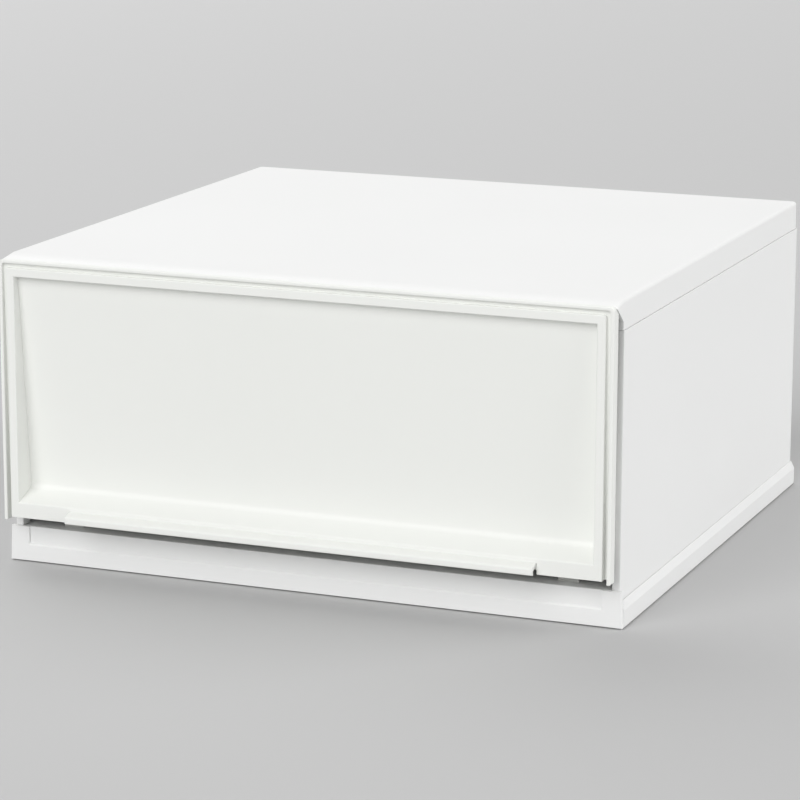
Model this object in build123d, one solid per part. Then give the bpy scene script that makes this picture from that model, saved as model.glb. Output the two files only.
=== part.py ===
from build123d import *
import math
import os

# Stackable drawer box, sizes in millimetres.
# +Z is up, +X is the right-hand side and the drawer opens towards -Y.
# The pieces are drawn with y counted from the front face of the front rail towards the back,
# and export_node moves them so that the origin is the bottom centre of the whole closed box.

# ---- overall sizes ----
base_width = 370.0       # outside of the base band
case_depth = 348.0       # front face of the front rail to the back of the base band
case_height = 180.0      # floor to the flat top
drawer_reach = 12.8      # the drawer front stands this far ahead of the front rail
lip_reach = 6.0          # the pull lip stands this far ahead of the drawer front

# ---- walls and clearances ----
wall = 2.4               # base, side and back mouldings
skirt_wall = 2.2         # skirt of the top panel
front_wall = 2.0         # drawer front moulding
rib = 1.8
fit = 0.2                # mouldings that are pushed together
seam = 0.3               # open seams and the gaps that the drawer runs with
side_clearance = 1.0     # tray to the front flanges of the side panels
over = 1.0               # cutters and merged blocks run on by this much
near = 0.1               # edges are picked within this distance

# ---- base ----
foot_proud = 0.8         # the band clears the floor by this much
foot_radius = 8.0
foot_height = 3.0
foot_round = 0.5
foot_side = 25.0         # centre of a foot to the side of the band
foot_edge = 24.0         # centre of a foot to the front and the back of the base
socket_core = 7.0        # radius of the hollow above a foot
band_land = 10.5         # top of the upright part of the band
band_top = 15.0          # top of its bevel
bevel_in = 2.0
band_inset = 2.5         # side and back panels stand in from the band
channel_floor = 6.0      # the panels' lower edges stand in this channel
base_corner = 4.0
base_rib_bottom = 8.0
base_ribs = 3            # ribs under the floor, each way

# ---- front rail ----
rail_top = 21.0
rail_rise = 0.8          # the rail stands this much above the floor of the case
rail_end_draft = 0.8
rail_band = 11.2         # height of the lower band of the rail
rail_post = 12.3         # width of the posts at its ends
rail_recess = 1.1
rail_edge = 0.5
peg_radius = 2.0
peg_length = 5.0
peg_count = 4
peg_side = 35.0          # outer pegs to the side of the band
peg_z = 12.0

# ---- top panel ----
top_inset = 3.0          # the top stands in from the band
top_skin = 2.6
skirt_height = 16.5
top_round = 2.0
top_corner = 3.0
brow_start = 4.0         # the flat top ends here and the brow slopes down to the front
brow_drop = 1.8
brow_tip = 8.6           # the brow ends this far ahead of the front rail
brow_tip_height = 1.3
brow_edge = 0.6
brow_cut = 12.0          # lower end of the slanting front edge of the skirt, below the top
brow_gap = 0.5           # brow to the rim of the drawer front
apron_height = 11.0
top_rib_count = 5
top_rib_height = 3.9
keeper_length = 30.0
keeper_depth = 11.0
keeper_edge = 60.0       # first and last side keepers to the front and the back

# ---- side and back panels ----
flange_depth = 8.0
flange_width = 4.6
tongue = 2.1
tongue_overlap = 13.0
panel_round = 2.0
back_return = 12.0
bumper_radius = 5.0
bumper_round = 1.2
bumper_side = 65.0       # bumpers to the side of the band
bumper_z = 60.0
bumper_ring = 2.0
bumper_ring_depth = 6.0

# ---- runners ----
runner_side = 35.0       # middle of a runner to the side of the band
runner_width = 12.0
runner_height = 6.5
runner_round = 1.2
runner_start = 12.0
runner_screw_edge = (60.0, 58.0)    # screws to the front and the back of the base
screw_core = 1.3         # radius under the thread
screw_head = 2.86
screw_slot = 0.4         # half the width of a screw's slot
pilot = 1.4              # radius of the screw holes in the bosses
boss_radius = 4.5

# ---- drawer front ----
rim = 2.1                # thin outer rim on the top and the two sides
groove = 2.4             # between the rim and the frame
frame_face = 5.1
front_inset = 3.3        # the drawer front stands in from the band on each side
front_drop = 1.6         # and this far below the flat top
front_gap = 8.6          # front rail to the lower edge of the frame
rim_hang = 1.7           # the rim's sides hang below the frame
rail_face = 8.8          # height of the frame's bottom rail
rim_depth = 7.4
rim_top_depth = 3.6
groove_top_depth = 2.0
groove_bottom_depth = 5.0
recess_top_depth = 4.7   # the panel leans back from here
recess_bottom_depth = 15.6
recess_floor_rise = 5.8
rim_corner = 2.5
edge_round = 0.7
merge = 0.4              # parts of one moulding are drawn this far into each other
front_boss_side = 21.7   # bosses to the side of the drawer front
front_boss_low = 5.6     # lower bosses above the lower edge of the frame
front_boss_drop = 10.0   # upper bosses below the top of the tray
front_boss_radius = 4.0
front_screw_reach = 8.4  # screw point ahead of the tray
front_screw_head = 3.5
front_screw_head_height = 2.0
front_screw_round = 0.9

# ---- pull lip ----
lip_side = 41.7          # ends of the lip to the side of the drawer front
lip_wall = 1.8
lip_root_drop = 2.4      # its upper face at the frame, below the top of the bottom rail
lip_slope = 1.8          # fall of the upper face to the front
lip_rise = 0.7           # its lower edge above the lower edge of the frame
lip_flange = 1.6
lip_flange_above = 0.8   # flange behind the bottom rail
lip_flange_below = 4.4
lip_nose_round = 0.9
lip_tip_round = 0.6

# ---- drawer tray ----
tray_behind = 3.0        # front of the tray behind the front rail
tray_drop = 20.0         # rim of the tray below the flat top
tray_wall = 2.2
tray_floor = 2.4
tray_back_gap = 8.8      # tray to the back panel
tray_corner = 8.0
tray_bead = 5.0
tray_bead_height = 2.4
guide = 2.0
guide_gap = 0.5
guide_rise = 2.4         # lower edge of the guides above the floor of the case
guide_end = 4.0

# ---- stop clips ----
stop_reserve = 66.0      # front face of the clips to the back of the base
stop_length = 10.0
stop_width = 5.6
stop_inset = 5.5         # clips to the side of the tray
stop_overlap = 3.4       # height of a clip behind the apron
stop_stem_width = 2.6
stop_stem_length = 5.6
stop_stem_depth = 11.7
stop_gap = 0.5

# ---- sizes that follow: case ----
base_half = base_width / 2
base_front = wall + fit
panel_half = base_half - band_inset
panel_back = case_depth - band_inset
panel_front = wall + 2 * fit
panel_inner_back = panel_back - wall
floor_top = rail_top - rail_rise
foot_x = base_half - foot_side
top_half = base_half - top_inset
top_back = case_depth - top_inset
skirt_bottom = case_height - skirt_height
skin_under = case_height - top_skin
tip_under = case_height - brow_drop - brow_tip_height
brow_cut_bottom = case_height - brow_cut
apron_front = wall
apron_back = apron_front + wall
apron_bottom = case_height - apron_height
panel_top = skirt_bottom - seam
tongue_half = top_half - skirt_wall - seam
tongue_back = top_back - skirt_wall - seam
tongue_top = skin_under - seam
flange_inner = panel_half - flange_width
bumper_x = base_half - bumper_side
runner_x = base_half - runner_side
runner_top = floor_top + runner_height
runner_screw_y = (runner_screw_edge[0], case_depth - runner_screw_edge[1])

# ---- sizes that follow: drawer ----
front_y = -drawer_reach
front_half = base_half - front_inset
front_top = case_height - front_drop
frame_half = front_half - rim - groove
frame_top = front_top - rim - groove
opening_half = frame_half - frame_face
opening_top = frame_top - frame_face
rail_bottom = rail_top + front_gap
rim_bottom = rail_bottom - rim_hang
rail_face_top = rail_bottom + rail_face
recess_floor_back = rail_face_top + recess_floor_rise
lip_half = front_half - lip_side
lip_root = rail_face_top - lip_root_drop
lip_nose = lip_root - lip_slope
lip_bottom = rail_bottom + lip_rise
tray_front = wall + tray_behind
tray_back = panel_inner_back - tray_back_gap
tray_half = flange_inner - side_clearance
tray_bottom = runner_top + seam
tray_top = case_height - tray_drop
front_boss_x = front_half - front_boss_side
front_boss_z = (rail_bottom + front_boss_low, tray_top - front_boss_drop)
stop_x = tray_half - stop_inset
stop_front = case_depth - stop_reserve
stop_top = apron_bottom + stop_overlap
drawer_travel = stop_front - apron_back - stop_gap
overall_depth = case_depth + drawer_reach + lip_reach
origin_y = drawer_reach + lip_reach - overall_depth / 2


def block(x0, x1, y0, y1, z0, z1):
    """A box between two corners."""
    centre = Pos((x0 + x1) / 2, (y0 + y1) / 2, (z0 + z1) / 2)
    return centre * Box(abs(x1 - x0), abs(y1 - y0), abs(z1 - z0))


def side_profile(points, x0, x1):
    """An outline in y and z, carried from x0 to x1."""
    face = Plane.YZ.offset(x0) * Polygon(*points, align=None)
    return extrude(face, amount=x1 - x0, dir=(1, 0, 0))


def front_profile(points, y0, y1):
    """An outline in x and z, carried from y0 to y1."""
    face = Pos(0, y0, 0) * (Plane.XZ * Polygon(*points, align=None))
    return extrude(face, amount=y1 - y0, dir=(0, 1, 0))


def upright(x, y, z0, z1, radius):
    """A vertical cylinder."""
    return Pos(x, y, (z0 + z1) / 2) * Cylinder(radius, z1 - z0)


def level(x, z, y0, y1, radius):
    """A cylinder along y."""
    return Pos(x, (y0 + y1) / 2, z) * Rot(90, 0, 0) * Cylinder(radius, abs(y1 - y0))


def plan(half, y0, y1, back_radius, front_radius=0.0):
    """A plan outline, with its corners rounded."""
    outline = Pos(0, (y0 + y1) / 2) * Rectangle(2 * half, y1 - y0)
    corners = outline.vertices().sort_by(Axis.Y)
    if back_radius:
        outline = fillet(corners[2:], back_radius)
        corners = outline.vertices().sort_by(Axis.Y)
    if front_radius:
        outline = fillet(corners[:2], front_radius)
    return outline


def prism(outline, z0, z1, taper=0.0):
    """A plan outline, carried from z0 to z1."""
    return extrude(Pos(0, 0, z0) * outline, amount=z1 - z0, taper=taper)


def edges_at(part, lie_along, **middle):
    """Edges along an axis whose middle has the coordinates given."""
    found = part.edges().filter_by(lie_along)
    for letter, places in middle.items():
        wanted = places if isinstance(places, (list, tuple)) else [places]
        found = found.filter_by(
            lambda e: any(abs(getattr(e.center(), letter.upper()) - v) < near for v in wanted)
        )
    return found


def mirrored(part):
    """The same piece for the left-hand side."""
    return mirror(part, about=Plane.YZ)


def spread(first, last, count):
    """Evenly spaced places from the first to the last."""
    step = (last - first) / (count - 1)
    return [first + step * i for i in range(count)]


# ---- base tray: band, panel channel, floor, ribs, foot sockets, screw bosses ----
def make_base_tray():
    reach = base_corner + wall
    plan_band = plan(base_half, base_front - reach, case_depth, base_corner)
    lean = math.degrees(math.atan(bevel_in / (band_top - band_land)))
    part = prism(plan_band, foot_proud, band_land)
    part += prism(plan_band, band_land, band_top, taper=lean)
    part -= block(-base_width, base_width, -base_width, base_front, 0, case_height)
    channel_half = panel_half + fit
    core_half = panel_half - wall - fit
    core_back = panel_inner_back - fit
    part -= block(-channel_half, channel_half, 0, panel_back + fit, channel_floor, case_height)
    part += block(-core_half, core_half, base_front, core_back, channel_floor - wall, floor_top)
    part += block(
        -channel_half, channel_half,
        base_front, base_front + wall,
        foot_proud, channel_floor,
    )
    under_front = base_front + wall
    under_half = core_half - wall
    under_back = core_back - wall
    floor_under = floor_top - wall
    part -= block(
        -(base_half - wall), base_half - wall,
        under_front, case_depth - wall,
        0, channel_floor - wall,
    )
    part -= block(-under_half, under_half, under_front, under_back, 0, floor_under)
    for x in spread(-under_half, under_half, base_ribs + 2)[1:-1]:
        part += block(
            x - rib / 2, x + rib / 2,
            under_front - over, under_back + over,
            base_rib_bottom, floor_under + over,
        )
    for y in spread(under_front, under_back, base_ribs + 2)[1:-1]:
        part += block(
            -under_half - over, under_half + over,
            y - rib / 2, y + rib / 2,
            base_rib_bottom, floor_under + over,
        )
    socket_top = foot_height + fit
    for x in (-foot_x, foot_x):
        for y in (foot_edge, case_depth - foot_edge):
            part += upright(x, y, foot_proud + over, floor_under + over, foot_radius + fit + wall)
            part -= upright(x, y, 0, socket_top, foot_radius + fit)
            part -= upright(x, y, socket_top + wall, floor_top, socket_core)
    for x in (-runner_x, runner_x):
        for y in runner_screw_y:
            part += upright(x, y, base_rib_bottom, floor_under + over, boss_radius)
            part -= upright(x, y, base_rib_bottom, floor_top, pilot)
    for x in spread(-base_half + peg_side, base_half - peg_side, peg_count):
        part -= level(x, peg_z, 0, under_front + over, peg_radius + fit)
    return part


# ---- front rail: lower band, recessed field between two posts, pegs ----
def make_front_rail():
    top_half_width = base_half - rail_end_draft
    outline = [
        (-base_half, foot_proud),
        (base_half, foot_proud),
        (top_half_width, rail_top),
        (-top_half_width, rail_top),
    ]
    part = front_profile(outline, 0, wall)
    field_half = base_half - rail_post
    part -= block(-field_half, field_half, -over, rail_recess, rail_band, case_height)
    ledge = edges_at(part, Axis.X, y=0, z=rail_band)
    part = fillet(ledge, rail_edge)
    end_from = base_half - rail_end_draft - near
    ends = part.edges().filter_by(lambda e: e.center().Y < near and abs(e.center().X) > end_from)
    part = fillet(ends, edge_round)
    tops = edges_at(part, Axis.X, z=rail_top)
    part = fillet(tops, rail_edge)
    for x in spread(-base_half + peg_side, base_half - peg_side, peg_count):
        part += level(x, peg_z, wall - over, wall + peg_length, peg_radius)
    return part


# ---- top panel: flat top, brow over the drawer front, skirt, apron, ribs ----
def make_top_panel():
    half = top_half
    part = prism(plan(half, brow_start, top_back, top_corner), skirt_bottom, case_height)
    top_edges = part.edges().group_by(Axis.Z)[-1]
    part = fillet(top_edges.filter_by(lambda e: e.center().Y > brow_start + near), top_round)
    section = Plane.XZ * Polygon(
        (-half, skirt_bottom), (half, skirt_bottom),
        (half, case_height), (-half, case_height),
        align=None,
    )
    section = fillet(section.vertices().sort_by(Axis.Z)[2:], top_round)
    at_start = Pos(0, brow_start, 0) * section
    slope_run = brow_start + brow_tip
    slope_length = math.hypot(slope_run, brow_drop)
    part += extrude(at_start, amount=slope_length, dir=(0, -slope_run, -brow_drop))
    part -= block(-base_half, base_half, -brow_tip - over, top_back, 0, skirt_bottom)
    tip_edges = part.edges().filter_by(
        lambda e: abs(e.center().Y + brow_tip) < near and e.center().Z > tip_under + near
    )
    part = fillet(tip_edges, brow_edge)
    under_brow = [
        (-brow_tip - over, 0),
        (-brow_tip - over, tip_under),
        (-brow_tip, tip_under),
        (apron_front, brow_cut_bottom),
        (apron_front, 0),
    ]
    part -= side_profile(under_brow, -half - over, half + over)
    inner = half - skirt_wall
    part -= block(-inner, inner, -brow_tip - over, apron_front, 0, tip_under)
    part -= block(-inner, inner, apron_back, top_back - skirt_wall, 0, skin_under)
    part -= block(-inner, inner, apron_front - over, apron_back + over, 0, apron_bottom)
    keeper_outer = tongue_half - tongue - seam
    keeper_back = tongue_back - tongue - seam
    rib_x = spread(-keeper_outer, keeper_outer, top_rib_count + 2)[1:-1]
    for x in rib_x:
        part += block(
            x - rib / 2, x + rib / 2,
            apron_back - over, keeper_back - over,
            skin_under - top_rib_height, skin_under + over,
        )
    for y in spread(keeper_edge, case_depth - keeper_edge, 3):
        for side in (-1, 1):
            part += block(
                side * (keeper_outer - rib), side * keeper_outer,
                y - keeper_length / 2, y + keeper_length / 2,
                skin_under - keeper_depth, skin_under + over,
            )
    for left, right in zip(rib_x, rib_x[1:]):
        middle = (left + right) / 2
        part += block(
            middle - keeper_length / 2, middle + keeper_length / 2,
            keeper_back - rib, keeper_back,
            skin_under - keeper_depth, skin_under + over,
        )
    return part


# ---- side panels: plate, front flange, upper tongue ----
def make_side_panel():
    bottom = channel_floor + seam
    inner = panel_half - wall
    back = panel_inner_back - seam
    part = block(inner, panel_half, panel_front, back, bottom, panel_top)
    part += block(
        flange_inner, panel_half, panel_front, panel_front + flange_depth,
        floor_top + seam, panel_top,
    )
    tongue_front = apron_back + seam
    tongue_end = tongue_back - tongue - seam
    tongue_inner = tongue_half - tongue
    part += block(
        tongue_inner, inner + over, tongue_front, tongue_end,
        panel_top - tongue_overlap, panel_top,
    )
    part += block(
        tongue_inner, tongue_half, tongue_front, tongue_end,
        panel_top - tongue_overlap, tongue_top,
    )
    outer_front = edges_at(part, Axis.Z, x=panel_half, y=panel_front)
    return fillet(outer_front, edge_round)


# ---- back panel: plate, side returns, upper tongue, bumper seats ----
def make_back_panel():
    bottom = channel_floor + seam
    part = block(-panel_half, panel_half, panel_inner_back, panel_back, bottom, panel_top)
    outer = edges_at(part, Axis.Z, x=[-panel_half, panel_half], y=panel_back)
    part = fillet(outer, panel_round)
    return_outer = panel_half - wall - seam
    tongue_side = tongue_half - tongue - seam
    for side in (-1, 1):
        part += block(
            side * (return_outer - front_wall), side * return_outer,
            panel_inner_back - back_return, panel_inner_back + over,
            floor_top + seam, panel_top - tongue_overlap - seam,
        )
    part += block(
        -tongue_side, tongue_side, tongue_back - tongue, panel_inner_back + over,
        panel_top - tongue_overlap, panel_top,
    )
    part += block(
        -tongue_side, tongue_side, tongue_back - tongue, tongue_back,
        panel_top - tongue_overlap, tongue_top,
    )
    for x in (-bumper_x, bumper_x):
        ring_front = panel_inner_back - bumper_ring_depth
        ring = bumper_radius + fit
        seat = level(x, bumper_z, ring_front, panel_inner_back + over, ring + bumper_ring)
        seat -= level(x, bumper_z, ring_front, panel_inner_back, ring)
        part += seat
    return part


# ---- small pieces of the case ----
def make_foot():
    part = upright(0, 0, 0, foot_height, foot_radius)
    return fillet(part.edges().sort_by(Axis.Z)[0], foot_round)


def make_runner():
    half = runner_width / 2
    part = block(-half, half, runner_start, tray_back, floor_top, runner_top)
    part = fillet(part.edges().group_by(Axis.Z)[-1], runner_round)
    for y in runner_screw_y:
        part -= upright(0, y, floor_top, runner_top, screw_core + fit)
        sink = Cone(screw_core + fit, screw_head + fit, screw_head)
        part -= Pos(0, y, runner_top - screw_head / 2) * sink
    return part


def make_runner_screw():
    head_bottom = runner_top - fit - screw_head
    shank = upright(0, 0, base_rib_bottom + over, head_bottom, screw_core)
    cone = Pos(0, 0, head_bottom + screw_head / 2) * Cone(screw_core, screw_head, screw_head)
    slot = block(-screw_head, screw_head, -screw_slot, screw_slot, runner_top - over, runner_top)
    return shank + cone - slot


def make_bumper():
    part = level(0, bumper_z, tray_back + seam, panel_inner_back, bumper_radius)
    return fillet(part.edges().sort_by(Axis.Y)[0], bumper_round)


# ---- drawer front: rim, groove, frame, recessed panel that leans back ----
def make_drawer_front():
    def arch(half, bottom, top, radius):
        outline = Plane.XZ * Polygon(
            (-half, bottom), (half, bottom), (half, top), (-half, top), align=None
        )
        return fillet(outline.vertices().sort_by(Axis.Z)[2:], radius)

    def along_y(outline, y0, y1):
        return extrude(Pos(0, y0, 0) * outline, amount=y1 - y0, dir=(0, 1, 0))

    rim_back = front_y + rim_depth
    shell = along_y(arch(front_half, rim_bottom, front_top, rim_corner), front_y, rim_back)
    shell -= along_y(
        arch(front_half - rim, rim_bottom - over, front_top - rim, rim_corner - rim / 2),
        front_y - over, rim_back + over,
    )

    plate_top = front_top - rim + merge
    plate_half = front_half - rim + merge
    top_y = front_y + groove_top_depth
    bottom_y = front_y + groove_bottom_depth
    plate = side_profile(
        [
            (top_y, plate_top), (top_y + front_wall, plate_top),
            (bottom_y + front_wall, rail_bottom), (bottom_y, rail_bottom),
        ],
        -plate_half, plate_half,
    )
    frame = along_y(arch(frame_half, rail_bottom, frame_top, rim_corner / 2), front_y, top_y + front_wall)
    part = shell + plate + frame

    recess_top_y = front_y + recess_top_depth
    recess_bottom_y = front_y + recess_bottom_depth
    lean = (recess_bottom_y - recess_top_y) / (opening_top - recess_floor_back)
    rise = recess_floor_rise / recess_bottom_depth
    pan = side_profile(
        [
            (front_y + front_wall, opening_top + front_wall),
            (recess_top_y + front_wall - lean * front_wall, opening_top + front_wall),
            (recess_bottom_y + front_wall, recess_floor_back),
            (recess_bottom_y + front_wall, recess_floor_back + rise * front_wall - front_wall),
            (front_y + front_wall, rail_face_top + rise * front_wall - front_wall),
        ],
        -(opening_half + front_wall), opening_half + front_wall,
    )
    hollow = side_profile(
        [
            (front_y - over, opening_top),
            (recess_top_y, opening_top),
            (recess_bottom_y, recess_floor_back),
            (front_y, rail_face_top),
            (front_y - over, rail_face_top),
        ],
        -opening_half, opening_half,
    )
    below = side_profile(
        [
            (front_y + front_wall, rail_bottom - over),
            (front_y + front_wall, rail_face_top + rise * front_wall - front_wall),
            (bottom_y + wall, rail_face_top + rise * (groove_bottom_depth + wall) - front_wall),
            (bottom_y + wall, rail_bottom - over),
        ],
        -opening_half, opening_half,
    )
    part = part - below + pan - hollow

    cut_slope = (tip_under - brow_cut_bottom) / (brow_tip + apron_front)
    rim_top_back = front_y + rim_top_depth
    part -= side_profile(
        [
            (rim_top_back, case_height),
            (rim_top_back, tip_under - seam),
            (-brow_tip, tip_under - brow_gap),
            (0, tip_under - brow_gap - cut_slope * brow_tip),
            (0, case_height),
        ],
        -base_half, base_half,
    )

    for x in (-front_boss_x, front_boss_x):
        for z, root in zip(front_boss_z, (front_y + over, recess_top_y)):
            part += level(x, z, root + over, tray_front - fit, front_boss_radius)
            part -= level(x, z, tray_front - front_screw_reach - over, tray_front, pilot)

    cut_half = lip_half + seam
    part -= block(-cut_half, cut_half, front_y - over, bottom_y, rail_bottom - over, lip_root + fit)
    return part - hollow


def finish_drawer_front(part):
    """Rounds the front edges of the frame and the rim."""
    front = [
        e for e in part.edges()
        if abs(e.center().Y - front_y) < near and e.length > front_boss_side
        and e.center().Z > rail_face_top - over
    ]
    return fillet(front, edge_round)


# ---- pull lip: flange behind the bottom rail, sloping shelf, upright lip ----
def make_pull_lip():
    nose_y = front_y - lip_reach
    flange_front = front_y + front_wall + fit
    flange_back = flange_front + lip_flange
    flange_top = lip_root + lip_flange_above
    flange_bottom = lip_root - lip_flange_below
    outline = [
        (flange_front, flange_top),
        (flange_front, lip_root),
        (front_y, lip_root),
        (nose_y, lip_nose),
        (nose_y, lip_bottom),
        (nose_y + lip_wall, lip_bottom),
        (nose_y + lip_wall, lip_nose - lip_wall),
        (front_y, lip_root - lip_wall),
        (flange_front, lip_root - lip_wall),
        (flange_front, flange_bottom),
        (flange_back, flange_bottom),
        (flange_back, flange_top),
    ]
    part = side_profile(outline, -lip_half, lip_half)
    nose = edges_at(part, Axis.X, y=nose_y, z=lip_nose)
    part = fillet(nose, lip_nose_round)
    tips = edges_at(part, Axis.X, y=[nose_y, nose_y + lip_wall], z=lip_bottom)
    return fillet(tips, lip_tip_round)


# ---- drawer tray: walls, floor, rim bead, runner guides, clip pockets ----
def make_drawer_tray():
    outside = plan(tray_half, tray_front, tray_back, tray_corner, tray_corner)
    inside = plan(
        tray_half - tray_wall, tray_front + tray_wall, tray_back - tray_wall,
        tray_corner - tray_wall, tray_corner - tray_wall,
    )
    mouth = plan(
        tray_half - tray_bead, tray_front + tray_bead, tray_back - tray_bead,
        tray_corner - tray_wall, tray_corner - tray_wall,
    )
    part = prism(outside, tray_bottom, tray_top)
    part = fillet(part.edges().group_by(Axis.Z)[0], runner_round)
    hollow = prism(inside, tray_bottom + tray_floor, tray_top - tray_bead_height)
    hollow = fillet(hollow.edges().group_by(Axis.Z)[0], tray_wall)
    part -= hollow
    part -= prism(mouth, tray_top - tray_bead_height, tray_top)
    guide_reach = runner_width / 2 + guide_gap
    for side in (-1, 1):
        for edge in (-1, 1):
            inner = side * runner_x + edge * guide_reach
            outer = inner + edge * guide
            part += block(
                inner, outer, runner_start, tray_back - guide_end,
                floor_top + guide_rise, tray_bottom + over,
            )
    for x in (-front_boss_x, front_boss_x):
        for z in front_boss_z:
            part -= level(x, z, tray_front - over, tray_front + tray_wall + over, screw_core + 2 * fit)
    pocket_bottom = tray_top - stop_stem_depth - tray_floor
    pocket_half = stop_x - stop_width / 2 - fit
    pocket_back = stop_front + stop_length + over
    stem_y = stop_front + stop_length / 2
    for side in (-1, 1):
        part += block(
            side * pocket_half, side * (tray_half - tray_wall / 2),
            stop_front - over, pocket_back, pocket_bottom, tray_top,
        )
        part -= block(
            side * (stop_x - stop_stem_width / 2 - fit), side * (stop_x + stop_stem_width / 2 + fit),
            stem_y - stop_stem_length / 2 - fit, stem_y + stop_stem_length / 2 + fit,
            tray_top - stop_stem_depth - seam, tray_top,
        )
    return part


def make_stop_clip():
    stem_y = stop_front + stop_length / 2
    head = block(
        stop_x - stop_width / 2, stop_x + stop_width / 2,
        stop_front, stop_front + stop_length, tray_top, stop_top,
    )
    ramp = edges_at(head, Axis.X, y=stop_front + stop_length, z=stop_top)
    head = chamfer(ramp, stop_length / 2)
    stem = block(
        stop_x - stop_stem_width / 2, stop_x + stop_stem_width / 2,
        stem_y - stop_stem_length / 2, stem_y + stop_stem_length / 2,
        tray_top - stop_stem_depth, tray_top + over,
    )
    return head + stem


def make_front_screw():
    head_front = tray_front + tray_wall
    head_back = head_front + front_screw_head_height
    head = level(0, 0, head_front, head_back, front_screw_head)
    head = fillet(head.edges().sort_by(Axis.Y)[-1], front_screw_round)
    shank = level(0, 0, tray_front - front_screw_reach, head_front + over, screw_core)
    slot = block(
        -front_screw_head, front_screw_head,
        head_back - over, head_back,
        -screw_slot, screw_slot,
    )
    return head + shank - slot


def export_node(name, *pieces):
    """Moves the pieces of a node to the shared origin and writes them."""
    placed = [Pos(0, origin_y, 0) * piece for piece in pieces]
    node = placed[0] if len(placed) == 1 else Compound(placed)
    node.label = name
    export_step(node, f"parts/{name}.step")
    print(name, len(node.solids()), round(node.volume / 1000, 2), "cm3")


os.makedirs("parts", exist_ok=True)

export_node("base_tray", make_base_tray())
export_node("front_rail", make_front_rail())
export_node("top_panel", make_top_panel())
export_node("back_panel", make_back_panel())

side_panel = make_side_panel()
export_node("right_side_panel", side_panel)
export_node("left_side_panel", mirrored(side_panel))

runner = make_runner()
export_node("right_runner", Pos(runner_x, 0, 0) * runner)
export_node("left_runner", Pos(-runner_x, 0, 0) * runner)
runner_screw = make_runner_screw()
runner_screws = [Pos(x, y, 0) * runner_screw for x in (-runner_x, runner_x) for y in runner_screw_y]
export_node("runner_screws", *runner_screws)

foot = make_foot()
foot_places = {
    "front_left_foot": (-foot_x, foot_edge),
    "front_right_foot": (foot_x, foot_edge),
    "rear_left_foot": (-foot_x, case_depth - foot_edge),
    "rear_right_foot": (foot_x, case_depth - foot_edge),
}
for name, (x, y) in foot_places.items():
    export_node(name, Pos(x, y, 0) * foot)

bumper = make_bumper()
export_node("right_bumper", Pos(bumper_x, 0, 0) * bumper)
export_node("left_bumper", Pos(-bumper_x, 0, 0) * bumper)

export_node("drawer_front", finish_drawer_front(make_drawer_front()))
export_node("pull_lip", make_pull_lip())
export_node("drawer_tray", make_drawer_tray())

stop_clip = make_stop_clip()
export_node("right_stop_clip", stop_clip)
export_node("left_stop_clip", mirrored(stop_clip))
front_screw = make_front_screw()
front_screws = [Pos(x, 0, z) * front_screw for x in (-front_boss_x, front_boss_x) for z in front_boss_z]
export_node("front_screws", *front_screws)

print("drawer travel", round(drawer_travel, 2), "overall depth", round(overall_depth, 2))
print("front rail face at y", round(origin_y, 2))
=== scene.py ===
import math
from types import SimpleNamespace

import bmesh
import bpy
from bpy.props import FloatProperty, FloatVectorProperty, PointerProperty
from mathutils import Matrix, Vector


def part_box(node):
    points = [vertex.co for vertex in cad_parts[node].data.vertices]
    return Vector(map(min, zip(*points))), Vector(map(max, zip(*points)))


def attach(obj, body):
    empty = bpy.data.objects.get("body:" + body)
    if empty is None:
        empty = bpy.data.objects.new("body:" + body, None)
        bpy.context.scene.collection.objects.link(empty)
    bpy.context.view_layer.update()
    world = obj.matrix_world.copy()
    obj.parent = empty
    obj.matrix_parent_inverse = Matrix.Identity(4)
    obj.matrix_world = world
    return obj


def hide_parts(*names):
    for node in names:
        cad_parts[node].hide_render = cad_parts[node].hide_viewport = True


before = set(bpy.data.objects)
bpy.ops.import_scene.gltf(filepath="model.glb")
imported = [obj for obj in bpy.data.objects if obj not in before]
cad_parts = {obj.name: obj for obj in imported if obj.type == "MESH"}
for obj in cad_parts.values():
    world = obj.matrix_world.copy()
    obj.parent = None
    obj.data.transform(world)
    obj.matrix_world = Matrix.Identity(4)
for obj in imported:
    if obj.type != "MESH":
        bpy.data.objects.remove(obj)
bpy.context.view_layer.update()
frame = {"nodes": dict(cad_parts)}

bl_info = {
    "name": "Stackable drawer box",
    "version": (1, 0, 0),
    "blender": (4, 5, 0),
    "location": "3D View > Sidebar > Drawer Box",
    "description": "Finishes the drawer box, models its small pieces and sets up the studio",
    "category": "Object",
}

MM = 0.001
RAIL_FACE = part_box("front_rail")[0].y    # front face of the front rail


# ---- properties ----

def number(name, description, default, **limits):
    return FloatProperty(name=name, description=description, default=default, **limits)


def colour(name, description, default):
    return FloatVectorProperty(
        name=name, description=description, default=default,
        subtype="COLOR", size=3, min=0, max=1,
    )


def length(name, description, millimetres):
    return number(
        name, description, millimetres * MM,
        unit="LENGTH", subtype="DISTANCE", min=0, precision=5,
    )


def angle(name, description, degrees):
    return number(name, description, math.radians(degrees), unit="ROTATION", subtype="ANGLE")


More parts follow.
